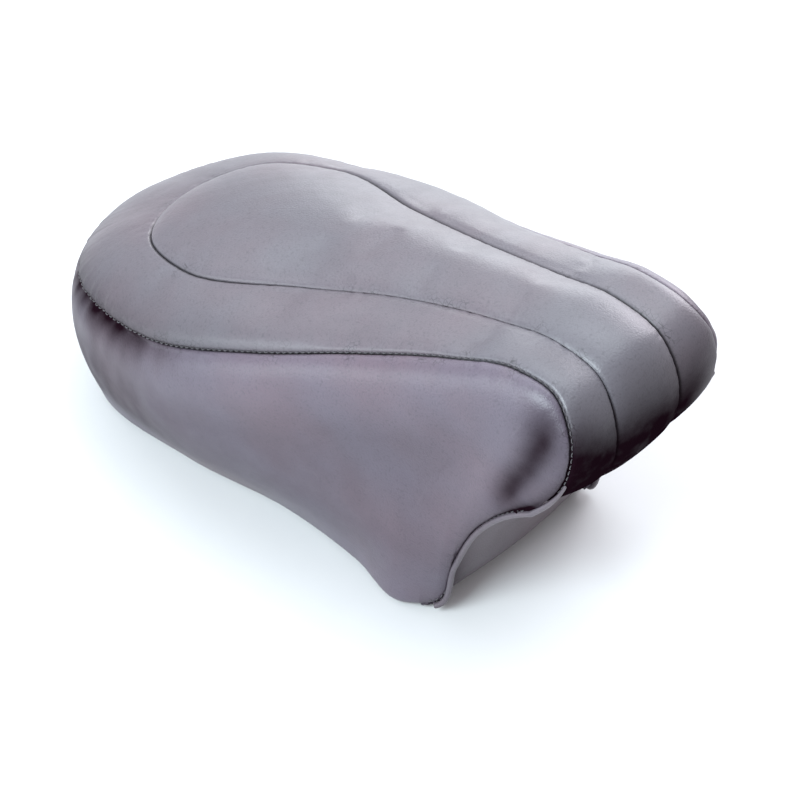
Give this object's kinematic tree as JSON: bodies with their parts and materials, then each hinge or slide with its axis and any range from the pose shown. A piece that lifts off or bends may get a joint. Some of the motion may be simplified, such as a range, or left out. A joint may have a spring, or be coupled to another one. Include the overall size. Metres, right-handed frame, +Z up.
{
  "type": "saddle seat cushion",
  "caption": "Teardrop upholstered saddle cushion with stitched keyhole insert, rolled overhanging nose, deep side panels, piped front edges and a moulded base pan.",
  "frame": {"origin": "middle of the bounding box, on the plane that the four rubber bumpers stand on", "axes": "+Y towards the rounded rear, -Y towards the overhanging nose, +Z up, +X to the right; symmetric about X = 0"},
  "size_m": [0.17, 0.3487, 0.171],
  "materials": {
    "vinyl": "satin embossed upholstery vinyl",
    "vinyl_side": "satin embossed upholstery vinyl, side panels",
    "vinyl_facing": "dull black vinyl",
    "welt": "satin black vinyl piping",
    "thread": "bonded nylon thread",
    "cord": "twisted paper and cotton cord",
    "foam": "moulded polyurethane foam with skin",
    "topper": "soft open-cell foam",
    "pan": "moulded ABS, fine texture",
    "brass": "turned brass",
    "rubber": "moulded rubber",
    "steel": "zinc plated steel"
  },
  "bodies": {
    "root": {"base_pan": "pan", "threaded_inserts": "brass", "bumpers": "rubber", "bumper_washers": "steel", "bumper_screws": "steel", "drain_grommets": "rubber", "foam_core": "foam", "topper_pad": "topper", "insert_panel": "vinyl", "top_band": "vinyl", "side_panel_left": "vinyl_side", "side_panel_right": "vinyl_side", "front_facing": "vinyl_facing", "front_welt_left": "welt", "front_welt_right": "welt", "welt_cord_left": "cord", "welt_cord_right": "cord", "insert_topstitch": "thread", "outer_seam_thread": "thread", "rear_seam_thread": "thread", "welt_seam_thread": "thread", "staples": "steel"}
  },
  "joints": []
}
